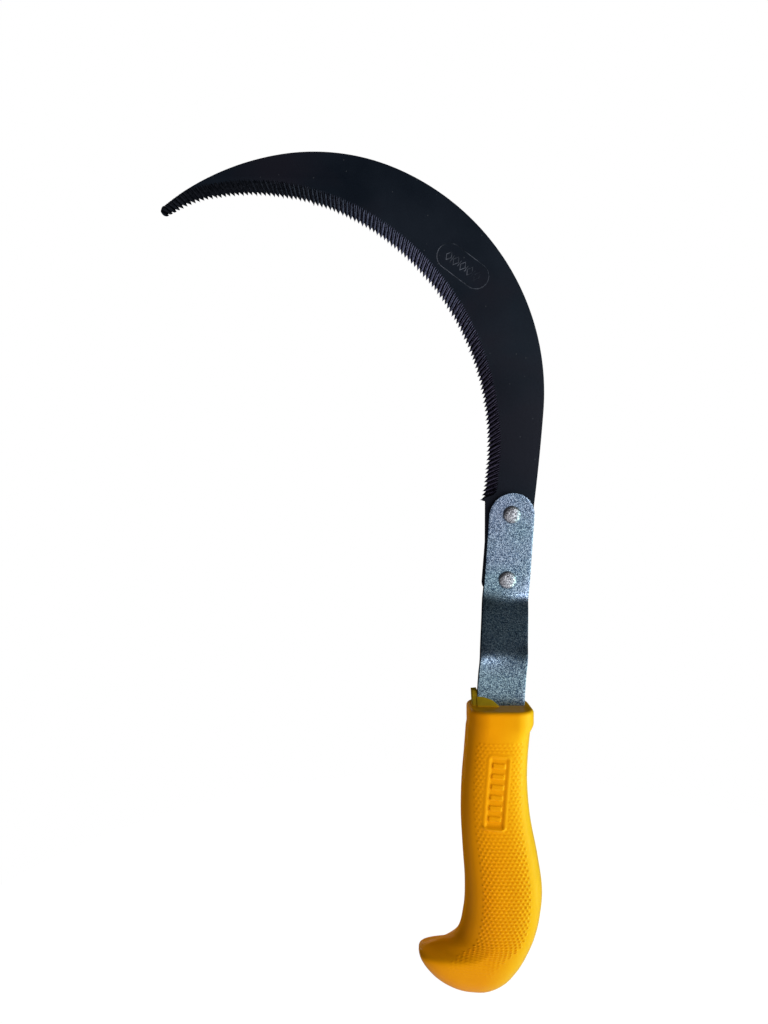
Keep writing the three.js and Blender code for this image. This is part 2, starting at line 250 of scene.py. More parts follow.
def combine(thing, body, operation="DIFFERENCE", material=None):
    """Cuts a body out of an object, or joins it on, for good."""
    tool = make_object("tool", body)
    if material:
        tool.data.materials.append(material)
    change = thing.modifiers.new("combine", "BOOLEAN")
    change.operation = operation
    change.solver = "MANIFOLD"
    change.object = tool
    if material:
        change.material_mode = "TRANSFER"
    bpy.context.view_layer.update()
    graph = bpy.context.evaluated_depsgraph_get()
    result = bpy.data.meshes.new_from_object(thing.evaluated_get(graph))
    thing.modifiers.clear()
    spent = thing.data
    thing.data = result
    result.name = thing.name
    bpy.data.meshes.remove(spent)
    bpy.data.objects.remove(tool)


def finish_piece(thing, node, sharp_degrees):
    """Shades a piece, ties it to the part's one body, and hides the node it stands for."""
    thing.data.shade_smooth()
    thing.data.set_sharp_from_angle(angle=math.radians(sharp_degrees))
    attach(thing, "root")
    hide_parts(node)


def plate(outline, front, back, edge_radius, steps=4):
    """A flat plate with rounded edges, from its outline in X and Z."""
    outline = np.asarray(outline, float)
    before, after = np.roll(outline, 1, axis=0), np.roll(outline, -1, axis=0)
    along_in = (outline - before) / np.linalg.norm(outline - before, axis=1)[:, None]
    along_out = (after - outline) / np.linalg.norm(after - outline, axis=1)[:, None]
    normal_in = np.stack([-along_in[:, 1], along_in[:, 0]], axis=1)
    normal_out = np.stack([-along_out[:, 1], along_out[:, 0]], axis=1)
    inwards = normal_in + normal_out
    inwards /= np.maximum((inwards * normal_out).sum(axis=1), 0.5)[:, None]
    x, z = outline.T
    if (x * np.roll(z, -1) - np.roll(x, -1) * z).sum() < 0:
        inwards = -inwards
    turns = np.linspace(0, math.pi / 2, steps + 1)
    rim = [(edge_radius * (1 - math.sin(a)), edge_radius * (1 - math.cos(a))) for a in turns]
    levels = [(inset, front + depth) for inset, depth in rim]
    levels += [(inset, back - depth) for inset, depth in rim[::-1]]
    rings = []
    for inset, y in levels:
        ring = outline + inwards * inset
        rings.append(np.stack([ring[:, 0], np.full(len(ring), y), ring[:, 1]], axis=1))
    return lofted(rings)


def prism(outline, front, back):
    """A sharp-edged plate, for cutting."""
    rings = [[(x, y, z) for x, z in outline] for y in (front, back)]
    return lofted(rings)


def round_hole(z, radius, front, back, sides=48):
    """A cutter for a hole in the middle of the strap's width, at a height."""
    x = strap_centre(z)
    turns = np.linspace(0, 2 * math.pi, sides, endpoint=False)
    outline = [(x + radius * math.cos(a), z + radius * math.sin(a)) for a in turns]
    return prism(outline, front, back)


def rivet_holes(front, back):
    return [round_hole(z, RIVET_SHANK_RADIUS, front, back) for z in RIVETS.values()]


# ---- blade ----


class ArcChain:
    """Arcs that run smoothly into each other, each a radius and a left-hand sweep in degrees."""

    def __init__(self, start, heading, arcs):
        self.arcs = []
        self.length = 0.0
        point, angle = np.array(start, float), math.radians(heading)
        for radius, sweep in arcs:
            centre = point + radius * np.array([-math.sin(angle), math.cos(angle)])
            self.arcs.append((self.length, centre, radius, angle))
            self.length += radius * math.radians(sweep)
            angle += math.radians(sweep)
            point = centre + radius * np.array([math.sin(angle), -math.cos(angle)])

    def at(self, distance):
        """The point at a distance along the chain, and the heading there."""
        start, centre, radius, angle = [arc for arc in self.arcs if arc[0] <= max(distance, 0)][-1]
        heading = angle + (distance - start) / radius
        return centre + radius * np.array([math.sin(heading), -math.cos(heading)]), heading

    def points(self, spacing):
        steps = round(self.length / spacing)
        return [self.at(i * self.length / steps)[0] for i in range(steps + 1)]


TOOTH_LINE = ArcChain((-6.2, 86.8), 77.6, ((113.1, 71.3), (95.5, 43.8), (58.7, 17.2)))
SPINE = ArcChain((18, 85.5), 83, ((900, 2.6), (108, 70.5), (93.5, 33), (112, 29.1)))


def arc(centre, radius, start, end, steps):
    """Points on an arc between two angles in radians."""
    turns = np.linspace(start, end, steps + 1)
    return [np.array(centre) + radius * np.array([math.cos(a), math.sin(a)]) for a in turns]


def blade_outline():
    """The blade before grinding: tail, tooth side, round nose and spine."""
    spine, teeth = SPINE.points(OUTLINE_STEP), TOOTH_LINE.points(OUTLINE_STEP)
    nose = (spine[-1] + teeth[-1]) / 2
    across = spine[-1] - nose
    turn = math.atan2(across[1], across[0])
    radius = float(np.linalg.norm(across))
    corner = BLADE_TAIL_END + TAIL_CORNER_RADIUS
    left = (TAIL_EDGE[-1][0] + TAIL_CORNER_RADIUS, corner)
    right = (TAIL_BACK_X - TAIL_CORNER_RADIUS, corner)
    outline = [np.array(point) for point in TAIL_EDGE[::-1]]
    outline += teeth
    outline += arc(nose, radius, turn + math.pi, turn, 10)[1:-1]
    outline += spine[::-1]
    outline += arc(right, TAIL_CORNER_RADIUS, 0, -math.pi / 2, 8)
    outline += arc(left, TAIL_CORNER_RADIUS, -math.pi / 2, -math.pi, 8)[:-1]
    return outline


def ground(place, depth, end, reach, shoulder, chance):
    """One grinding pass: a pointed bar that enters at the edge and climbs out of the front."""
    pitch = TOOTH_LINE.length / TOOTH_COUNT
    point, heading = TOOTH_LINE.at((place + chance.normal(0, PLACE_SCATTER)) * pitch)
    depth = depth + chance.normal(0, DEPTH_SCATTER)
    lean = np.interp(place * pitch, (0, ROOT_RUN), (ROOT_LEAN, FLUTE_LEAN))
    course = heading - math.pi / 2 + math.radians(lean + chance.normal(0, LEAN_SCATTER))
    along = np.array([math.cos(course), -depth / end, math.sin(course)])
    along /= np.linalg.norm(along)
    across = np.array([-math.sin(course), 0, math.cos(course)])
    outwards = np.cross(along, across)
    start = np.array([point[0], BLADE_FRONT + depth, point[1]])
    flank = [(reach, reach * shoulder), (reach, WHEEL_HEIGHT)]
    rim = [(0, 0)] + flank + [(-u, v) for u, v in flank[::-1]]
    rings = []
    for distance in (-OVERRUN, end + OVERRUN):
        rings.append([start + distance * along + u * across + v * outwards for u, v in rim])
    return lofted(rings)


def flutes(chance):
    """The gullets' flutes, and the finer ones that split the ridges between them."""
    pitch, length = TOOTH_LINE.length / TOOTH_COUNT, TOOTH_LINE.length

    def depth_at(place):
        towards_nose = smooth(length - NOSE_RUN, length, place * pitch)
        return FLUTE_DEPTH + (NOSE_DEPTH - FLUTE_DEPTH) * towards_nose

    coarse = []
    for i in range(TOOTH_COUNT):
        depth = depth_at(i + 0.5)
        coarse.append(ground(i + 0.5, depth, FLUTE_LENGTH, FLUTE_REACH, FLUTE_SHOULDER, chance))
    fine = []
    for i in range(1, TOOTH_COUNT):
        ridge = depth_at(i) * (FLUTE_LENGTH - RIDGE_START) / FLUTE_LENGTH - RIDGE_DROP
        fall = (ridge - FINE_DROP) / FINE_RUN
        depth = ridge + fall
        fine.append(ground(i, depth, depth / fall, FINE_REACH, FINE_SHOULDER, chance))
    return coarse[::2], coarse[1::2], fine


STAMP_CENTRE = (-13.7, 190.4)
STAMP_TURN = math.radians(-37)
STAMP_LENGTH = 26.0
STAMP_HEIGHT = 11.5
STAMP_LINE = 0.36
STAMP_DEPTH = 0.14
STAMP_LOZENGES = 5
STAMP_OUTER = (1.5, 2.5)      # half the width and height of a lozenge, outside its line
STAMP_INNER = (1.1, 1.85)     # and inside it
STAMP_ROD = (0.15, 1.6)       # half the width and height of the rods between them
STAMP_SPREAD = 0.6            # how far the row keeps from the ends, as a share of the height


def on_stamp(u, v):
    """A place on the blade from its place along and across the stamp."""
    c, s = math.cos(STAMP_TURN), math.sin(STAMP_TURN)
    return STAMP_CENTRE[0] + u * c - v * s, STAMP_CENTRE[1] + u * s + v * c


def stadium(grow):
    """The stamp's outline, made larger all round."""
    radius = STAMP_HEIGHT / 2 + grow
    reach = (STAMP_LENGTH - STAMP_HEIGHT) / 2
    ends = arc((reach, 0), radius, -math.pi / 2, math.pi / 2, 20)
    ends += arc((-reach, 0), radius, math.pi / 2, 1.5 * math.pi, 20)
    return [on_stamp(u, v) for u, v in ends]


def stamp_cutters():
    """A plain stadium line round a row of lozenges and short rods."""
    front, floor = BLADE_FRONT - CUT_CLEARANCE, BLADE_FRONT + STAMP_DEPTH
    bodies = [line_ring(stadium(STAMP_LINE / 2), stadium(-STAMP_LINE / 2), front, floor)]
    pitch = (STAMP_LENGTH - STAMP_HEIGHT * STAMP_SPREAD) / STAMP_LOZENGES
    width, height = STAMP_ROD
    rod = [(-width, -height), (width, -height), (width, height), (-width, height)]
    for i in range(STAMP_LOZENGES):
        middle = (i - (STAMP_LOZENGES - 1) / 2) * pitch
        outer, inner = lozenge(middle, *STAMP_OUTER), lozenge(middle, *STAMP_INNER)
        bodies.append(line_ring(outer, inner, front, floor))
        if i:
            outline = [on_stamp(middle - pitch / 2 + u, v) for u, v in rod]
            bodies.append(prism(outline, front, floor))
    return joined(bodies)


def lozenge(middle, half_width, half_height):
    corners = [(half_width, 0), (0, half_height), (-half_width, 0), (0, -half_height)]
    return [on_stamp(middle + u, v) for u, v in corners]


def line_ring(outer, inner, front, floor):
    """A cutter for a closed line between two outlines."""
    sides = ((outer, front), (outer, floor), (inner, floor), (inner, front))
    ring = np.array([[(x, y, z) for x, z in side] for side, y in sides])
    faces = grid_faces(5, len(outer), True)
    return ring.reshape(-1, 3), [[corner % (4 * len(outer)) for corner in face] for face in faces]


def make_blade(steel, ground_steel, worn_steel):
    chance = np.random.default_rng(7)
    blank = plate(blade_outline(), BLADE_FRONT, BLADE_BACK, BLADE_EDGE_RADIUS)
    blade = make_object("blade_forged", blank)
    blade.data.materials.append(steel)
    for cutters in flutes(chance):
        combine(blade, joined(cutters), material=ground_steel)
    combine(blade, joined(rivet_holes(BLADE_FRONT - CUT_CLEARANCE, BLADE_BACK + CUT_CLEARANCE)))
    combine(blade, stamp_cutters(), material=worn_steel)
    finish_piece(blade, "blade", 12)
    return blade


# ---- strap ----

BEND_ANGLE = math.atan(CRANK_RISE / (CRANK_UPPER_BEND - CRANK_LOWER_BEND))
BEND_REACH = CRANK_RADIUS * math.tan(BEND_ANGLE / 2)
BEND_LENGTH = CRANK_RADIUS * BEND_ANGLE
SLOPE_LENGTH = (CRANK_UPPER_BEND - CRANK_LOWER_BEND) / math.cos(BEND_ANGLE) - 2 * BEND_REACH
LOWER_START = CRANK_LOWER_BEND - BEND_REACH
UPPER_START = LOWER_START + BEND_LENGTH + SLOPE_LENGTH


def strap_line(distance):
    """Y and Z of the strap's middle plane, and its lean, at a distance along it from the mouth."""
    lower = np.clip(distance - LOWER_START, 0, BEND_LENGTH) / CRANK_RADIUS
    upper = np.clip(distance - UPPER_START, 0, BEND_LENGTH) / CRANK_RADIUS
    slope = np.clip(distance - LOWER_START - BEND_LENGTH, 0, SLOPE_LENGTH)
    above = np.maximum(distance - UPPER_START - BEND_LENGTH, 0)
    y = CRANK_RADIUS * (1 - np.cos(lower)) + slope * math.sin(BEND_ANGLE)
    y += CRANK_RADIUS * (np.cos(BEND_ANGLE - upper) - math.cos(BEND_ANGLE))
    z = np.minimum(distance, LOWER_START)
    z = z + CRANK_RADIUS * np.sin(lower) + slope * math.cos(BEND_ANGLE)
    z += CRANK_RADIUS * (math.sin(BEND_ANGLE) - np.sin(BEND_ANGLE - upper)) + above
    return y, z, lower - upper


STRAP_LENGTH = UPPER_START + BEND_LENGTH + STRAP_TOP - CRANK_UPPER_BEND - BEND_REACH


def strap_rim(grow):
    """One edge of the strap's section as inset and depth pairs, from its front to its back."""
    half, radius = STRAP_THICKNESS / 2 + grow, STRAP_EDGE_RADIUS
    turns = np.linspace(0, math.pi / 2, 5)
    back = [(radius * (1 - math.sin(a)), half - radius * (1 - math.cos(a))) for a in turns]
    return [(inset, -depth) for inset, depth in back] + back[::-1]


def strap_body(grow=0.0):
    """The strap and its tang, laid along the cranked line, and larger all round by grow."""
    rim = strap_rim(grow)
    round_centre = STRAP_LENGTH - STRAP_WIDTH / 2
    half_width = STRAP_WIDTH / 2 + grow
    tang_half = TANG_WIDTH / 2 + grow
    levels = np.concatenate([
        [TANG_END - grow], np.arange(TANG_END + TANG_STEP, LOWER_START, TANG_STEP),
        np.arange(LOWER_START, UPPER_START + BEND_LENGTH, BEND_STEP),
        np.arange(UPPER_START + BEND_LENGTH, round_centre, FLAT_STEP),
    ])
    turns = np.linspace(0, math.pi / 2, 25)
    rings = []
    rows = [(level, None) for level in levels] + [(round_centre, turn) for turn in turns]
    for level, turn in rows:
        half = np.interp(level, TANG_SHOULDER[::-1], (tang_half, half_width))
        ring = []
        for side, order in ((1, rim), (-1, rim[::-1])):
            for inset, depth in order:
                reach = half - inset
                u = reach if turn is None else reach * math.cos(turn)
                v = 0.0 if turn is None else reach * math.sin(turn)
                ring.append((side * u, depth, level + v))
            last, first = ring[-1], (-ring[-1][0], ring[-1][1], ring[-1][2])
            for k in range(1, STRAP_COLUMNS):
                share = k / STRAP_COLUMNS
                ring.append((last[0] + share * (first[0] - last[0]), last[1], last[2]))
        rings.append(ring)
    points, faces = lofted(rings)
    u, depth, distance = points.T
    curl = (u / (STRAP_WIDTH / 2)) ** 2 * BEND_CURL
    lower_middle, upper_middle = LOWER_START + BEND_LENGTH / 2, UPPER_START + BEND_LENGTH / 2
    in_lower = np.exp(-(((distance - lower_middle) / CURL_REACH) ** 2))
    in_upper = np.exp(-(((distance - upper_middle) / CURL_REACH) ** 2))
    depth = depth + curl * (in_upper - in_lower)
    y, z, lean = strap_line(distance)
    y = y + depth * np.cos(lean)
    z = z - depth * np.sin(lean)
    return np.stack([u + strap_centre(z), y, z], axis=1), faces


def make_strap(material):
    strap = make_object("strap_cranked", strap_body())
    strap.data.materials.append(material)
    holes = rivet_holes(STRAP_FRONT - 2 * CUT_CLEARANCE, BLADE_FRONT + CUT_CLEARANCE)
    holes += [round_hole(z, KEY_HOLE_RADIUS, -STRAP_THICKNESS, STRAP_THICKNESS) for z in KEY_HOLES]
    combine(strap, joined(holes))
    finish_piece(strap, "tang_strap", 35)
    return strap


# ---- rivets ----


def dome(radius, height, base, side, steps=16):
    """A flattened dome from near its crown to its rim, as radius and height pairs."""
    turns = [math.pi / 2 * i / steps for i in range(1, steps + 1)]
    flat, rise = 2 / RIVET_SQUARENESS, side * height
    return [(radius * math.sin(a) ** flat, base + rise * abs(math.cos(a)) ** flat) for a in turns]


def rivet_profile():
    """A rivet from the crown of its head to the crown of its tail, as radius and Y pairs."""
    front, back = STRAP_FRONT - RIVET_RIM, BLADE_BACK + RIVET_RIM
    shank, foot = RIVET_SHANK_RADIUS - 0.01, RIVET_HEAD_RADIUS - RIVET_UNDERCUT
    crown = 0.05
    profile = [(crown, front - RIVET_HEAD_HEIGHT + RIVET_RIM)]
    profile += dome(RIVET_HEAD_RADIUS, RIVET_HEAD_HEIGHT - RIVET_RIM, front, -1)
    profile += [(foot, STRAP_FRONT), (shank, STRAP_FRONT), (shank, BLADE_BACK), (foot, BLADE_BACK)]
    profile += dome(RIVET_HEAD_RADIUS, RIVET_TAIL_HEIGHT - RIVET_RIM, back, 1)[::-1]
    return profile + [(crown, back + RIVET_TAIL_HEIGHT - RIVET_RIM)]


def make_rivet(node, material):
    z = RIVETS[node]
    turns = np.linspace(0, 2 * math.pi, RIVET_SIDES, endpoint=False)
    rings = []
    for radius, y in rivet_profile():
        outside = y < STRAP_FRONT or y > BLADE_BACK
        ring = []
        for a in turns:
            u, v = radius * math.cos(a), radius * math.sin(a)
            dent = noise.noise(Vector((u * DENT_SCALE, y * DENT_SCALE, v * DENT_SCALE + z)))
            stretch = 1 + DENT_SHARE * dent
            ring.append((u * stretch, y + DENT_DEPTH * dent * outside, v * stretch))
        rings.append(ring)
    points, faces = lofted(rings)
    rivet = make_object(f"{node}_headed", (points + np.array([strap_centre(z), 0, z]), faces))
    rivet.data.materials.append(material)
    finish_piece(rivet, node, 40)
    return rivet


# ---- handle ----

# Stations down the grip: the tooth side and the back of its outline, its half thickness, and
# how square the tooth side of its section is. The hook's upper side is a gable.
GRIP_STATIONS = np.array([
    (-13.4, -2.5, 12.5, -2.5, 12.8, 3),
    (-13.9, -8.2, 12.4, -8.2, 12.7, 3),
    (-14.8, -20, 11.3, -20, 12.5, 3),
    (-15.8, -32, 11.1, -32, 12.5, 3),
    (-16.1, -46, 12.4, -46, 12.9, 3),
    (-15.3, -61, 15.3, -61, 13.4, 3),
    (-14.4, -75, 17.2, -75, 13.5, 3),
    (-15.1, -86.6, 16.2, -86.8, 12.9, 2.6),
    (-18.6, -95.9, 14.1, -95.6, 12.1, 1.9),
    (-29.2, -100.2, 11, -103.3, 11.4, 1.4),
    (-34, -103.2, 7.6, -109.3, 10.6, 3.2),
    (-28.9, -111.3, 2.6, -115.1, 8.4, 3),
    (-20.6, -117.4, -3.8, -118.9, 5, 2.4),
    (-11, -120.3, -10, -120.3, 0.4, 2),
])


def along_stations(share):
    """The stations' values at shares of the grip's run, on a smooth curve through them."""
    last = len(GRIP_STATIONS) - 1
    place = np.asarray(share, float) * last
    first = np.clip(np.floor(place).astype(int), 0, last - 1)
    part = (place - first)[:, None]
    picks = [np.clip(first + step, 0, last) for step in (-1, 0, 1, 2)]
    p0, p1, p2, p3 = (GRIP_STATIONS[pick] for pick in picks)
    v0, v1 = (p2 - p0) / 2, (p3 - p1) / 2
    cubic = (2 * p1 - 2 * p2 + v0 + v1) * part**3
    return cubic + (-3 * p1 + 3 * p2 - 2 * v0 - v1) * part**2 + v0 * part + p1


# All the way round a section, from the middle of its front.
ROUND_TURNS = np.linspace(-math.pi / 2, 1.5 * math.pi, 721)


def squared(value, squareness):
    """A sine or cosine, bent so that an ellipse of them becomes squarer."""
    return np.sign(value) * np.abs(value) ** (2 / squareness)


def grip_ring(station, tooth_side, back_side):
    """One closed section of the grip, as points that start in the middle of its front."""
    left, right, half = station[0:2], station[2:4], station[4]
    cosine = np.cos(ROUND_TURNS)
    squareness = np.where(cosine < 0, tooth_side, back_side)
    across = squared(cosine, squareness)[:, None]
    through = squared(np.sin(ROUND_TURNS), squareness)
    middle = (left + right) / 2
    place = middle + across * (right - left) / 2
    return np.stack([place[:, 0], through * half, place[:, 1]], axis=1)


def collar_ring(z, inset):
    """One section of the collar: a rectangle with round corners."""
    half_x, half_y = COLLAR_WIDTH / 2 - inset, COLLAR_DEPTH / 2 - inset
    corner = COLLAR_CORNER - inset
    c, s = np.cos(ROUND_TURNS), np.sin(ROUND_TURNS)
    flat = np.minimum(half_x / np.maximum(np.abs(c), 1e-9), half_y / np.maximum(np.abs(s), 1e-9))
    core_x, core_y = half_x - corner, half_y - corner
    along = core_x * np.abs(c) + core_y * np.abs(s)
    inside = np.maximum(along**2 - core_x**2 - core_y**2 + corner**2, 0)
    rounded = along + np.sqrt(inside)
    in_corner = (np.abs(c) * flat > core_x) & (np.abs(s) * flat > core_y)
    reach = np.where(in_corner, rounded, flat)
    return np.stack([reach * c, reach * s, np.full(len(c), z)], axis=1)


COLUMN_STEP = DOT_STEP / 6
ROW_STEP = DOT_ROW / 5
FRONT_COLUMNS = 40            # each way from the middle of the front, and of the back
SIDE_COLUMNS = 26
SIDE_CROWDING = 0.12          # of its columns towards its middle, where the parting line is
FULL_GIRTH = 72.0             # a thinner section has its columns drawn in
COLLAR_ROWS = 0.5
SMOOTH_POMMEL = 120           # beyond this distance down the handle, every other row will do


def ring_columns(ring):
    """A section's points at the mesh's columns, and their distances round from the front."""
    steps = np.linalg.norm(np.diff(ring, axis=0), axis=1)
    run = np.concatenate([[0], np.cumsum(steps)])
    girth = run[-1]
    step = COLUMN_STEP * min(1, girth / FULL_GIRTH)
    front = np.arange(0, FRONT_COLUMNS + 1) * step
    back = girth / 2 + np.arange(-FRONT_COLUMNS, FRONT_COLUMNS + 1) * step
    t = np.arange(1, SIDE_COLUMNS) / SIDE_COLUMNS
    t = t + SIDE_CROWDING * np.sin(2 * math.pi * t)
    side = front[-1] + t * (back[0] - front[-1])
    half = np.concatenate([front, side, back[: FRONT_COLUMNS + 1]])
    whole = np.concatenate([half, girth - half[-2:0:-1]])
    placed = np.stack([np.interp(whole, run, ring[:, axis]) for axis in range(3)], axis=1)
    signed = np.where(whole > girth / 2, whole - girth, whole)
    return placed, signed, girth


def handle_rings():
    """The handle's plain sections from the top of the collar to the end of the pommel."""
    shares = np.linspace(0, 1, 4001)
    stations = along_stations(shares)
    middle = (stations[:, 0:2] + stations[:, 2:4]) / 2
    run = np.concatenate([[0], np.cumsum(np.linalg.norm(np.diff(middle, axis=0), axis=1))])
    drop = -stations[0, 1]
    rings, downs = [], []
    turns = np.linspace(0, math.pi / 2, 6)
    for a in turns:
        rings.append(collar_ring(-COLLAR_EDGE * (1 - math.cos(a)), COLLAR_EDGE * (1 - math.sin(a))))
        downs.append(-1.0)
    for z in np.arange(COLLAR_EDGE + 0.4, COLLAR_HEIGHT - 0.3, COLLAR_ROWS):
        rings.append(collar_ring(-z, 0))
        downs.append(-1.0)
    first_row = COLLAR_HEIGHT - 0.2
    count = int((drop + run[-1] - first_row) / ROW_STEP)
    for k in range(count + 1):
        down = first_row + k * ROW_STEP
        if down > SMOOTH_POMMEL and k % 2:
            continue
        share = np.interp(down - drop, run, shares)
        station = along_stations([share])[0]
        ring = grip_ring(station, station[5], GRIP_SQUARENESS)
        # The collar fades into the grip, faster at the sides than on the faces.
        run_out = 3.2 + 7 * np.abs(np.sin(ROUND_TURNS)) ** 2
        lip = (1 - smooth(0, 1, (down - COLLAR_HEIGHT) / run_out))[:, None]
        if lip.max() > 0:
            ring = (1 - lip) * ring + lip * collar_ring(-down, 0)
        rings.append(ring)
        downs.append(down)
    return rings, downs


def panel_place(x, z):
    """Distances across and along the panel from its centre, and the panel's length."""
    top, bottom = np.array(PANEL_TOP), np.array(PANEL_BOTTOM)
    run = bottom - top
    length = np.linalg.norm(run)
    run = run / length
    middle = (top + bottom) / 2
    u, w = x - middle[0], z - middle[1]
    return u * run[1] - w * run[0], u * run[0] + w * run[1], length


def box_distance(across, along, half_width, half_length, corner):
    """Distance outside a rectangle with round corners, negative inside it."""
    a, b = np.abs(across) - half_width + corner, np.abs(along) - half_length + corner
    outside = np.hypot(np.maximum(a, 0), np.maximum(b, 0))
    return outside + np.minimum(np.maximum(a, b), 0) - corner


def panel_relief(points):
    """How far the front moves outwards at the panel: a raised rim, a sunk floor and plain bars."""
    x, y, z = points.T
    across, along, length = panel_place(x, z)
    distance = box_distance(across, along, PANEL_WIDTH / 2, length / 2, PANEL_CORNER)
    front = smooth(6, 9, -y)
    rim = PANEL_RIM * np.exp(-(((distance - 0.85) / 0.65) ** 2))
    sunk = 1 - smooth(-0.8, 0.4, distance)
    pitch = length / (PANEL_BARS + 0.5)
    nearest = (np.round(along / pitch - 0.5) + 0.5) * pitch
    bar = box_distance(across, along - nearest, PANEL_WIDTH / 2 - 0.9, pitch * 0.24, 0.3)
    raised = 1 - smooth(-0.25, 0.2, bar)
    floor = PANEL_SUNK * (PANEL_FLOOR + y) + raised * PANEL_RELIEF
    at_bottom = smooth(length / 2 - 1, length / 2 + 0.6, along)
    ledge = PANEL_LEDGE * np.exp(-(((distance - 0.9) / 0.6) ** 2)) * at_bottom
    return front * ((rim + ledge) * (1 - sunk) + sunk * floor)


def dot_relief(down, signed, girth):
    """Raised dots in staggered rows on the front and back of the grip."""
    from_face = np.where(np.abs(signed) > girth / 4, girth / 2 - np.abs(signed), np.abs(signed))
    row = np.round(down / DOT_ROW)
    shift = (row % 2) * 0.5
    nearest = (np.round(from_face / DOT_STEP - shift) + shift) * DOT_STEP
    # Wide and low near the middle of a face, where they nearly merge into rows, and round
    # further out.
    outer = smooth(3, 8, from_face)
    half_width = 1.0 - 0.42 * outer
    place = row * DOT_ROW
    reach = np.hypot((from_face - nearest) / half_width, (down - place) / DOT_HALF_HEIGHT)
    inside = (nearest < DOT_REACH) & (place > DOT_TOP) & (place < DOT_BOTTOM)
    # Worn low towards the top, and fading out on the pommel.
    height = (0.17 + 0.16 * smooth(42, 62, down)) * (1 - 0.8 * smooth(94, DOT_BOTTOM, down))
    height = height * (1 + 0.4 * outer)
    return np.where(inside, height * np.clip(1 - reach**2, 0, 1), 0)


def handle_body():
    """The handle with its parting line, dots and panel, but no room for the tang yet."""
    rings, downs = handle_rings()
    rows, signed, girths = [], [], []
    for ring in rings:
        placed, distance, girth = ring_columns(ring)
        rows.append(placed)
        signed.append(distance)
        girths.append(girth)
    rows = np.array(rows)
    signed, girths = np.array(signed), np.array(girths)[:, None]
    downs = np.array(downs)[:, None] + 0 * signed
    along = np.gradient(rows, axis=0)
    round_ = np.roll(rows, -1, axis=1) - np.roll(rows, 1, axis=1)
    normal = np.cross(along, round_)
    normal /= np.maximum(np.linalg.norm(normal, axis=2), 1e-9)[..., None]
    outward = (normal * (rows - rows.mean(axis=1, keepdims=True))).sum(axis=2).mean()
    normal *= np.sign(outward)
    x, z = rows[..., 0], rows[..., 2]
    across, panel_along, length = panel_place(x, z)
    distance = box_distance(across, panel_along, PANEL_WIDTH / 2, length / 2, PANEL_CORNER)
    near_panel = (distance < PANEL_MARGIN) & (rows[..., 1] < 0)
    dots = np.where(near_panel | (downs < 0), 0, dot_relief(downs, signed, girths))
    off_line = (np.abs(signed) - girths / 4) / PARTING_WIDTH
    parting = PARTING_HEIGHT * np.exp(-(off_line**2)) * (downs > 0)
    relief = dots + parting * smooth(40, 60, girths)
    rows = rows + normal * relief[..., None]
    flat = rows.reshape(-1, 3)
    flat[:, 1] -= panel_relief(flat)
    return lofted(flat.reshape(rows.shape))


def flash_bodies():
    """Plastic that crept up the strap at the mouth: a block beside it and a film on its front."""
    block = [(-11.6, -1), (-11.6, 6.0), (-9.4, 6.2), (-9.4, -1)]
    film = [(-9.8, -0.6), (-9.8, 3.9), (-6.4, 3.5), (-3.2, 2.3), (-0.8, 0.4), (-0.8, -0.6)]
    leaning = []
    # Each outline's front and back, its rounding, and how far it leans back as it climbs.
    shapes = ((block, -3.6, 1.8, 0.3, 0.6), (film, -4.1, -1.2, 0.15, 0.65))
    for outline, front, back, rounding, lean in shapes:
        points, faces = plate(outline, front, back, rounding)
        points[:, 1] += lean * np.maximum(points[:, 2], 0)
        leaning.append((points, faces))
    return leaning


def make_handle(material):
    handle = make_object("handle_moulded", handle_body())
    handle.data.materials.append(material)
    for body in flash_bodies():
        combine(handle, body, "UNION")
    combine(handle, strap_body(0.02))
    finish_piece(handle, "handle", 50)
    return handle


# ---- materials ----


SHADER_SOCKETS = {
    "colour": "Base Color",
    "roughness": "Roughness",
    "metallic": "Metallic",
    "normal": "Normal",
    "specular": "Specular IOR Level",
    "specular_tint": "Specular Tint",
    "glow_colour": "Emission Color",
    "glow": "Emission Strength",
}


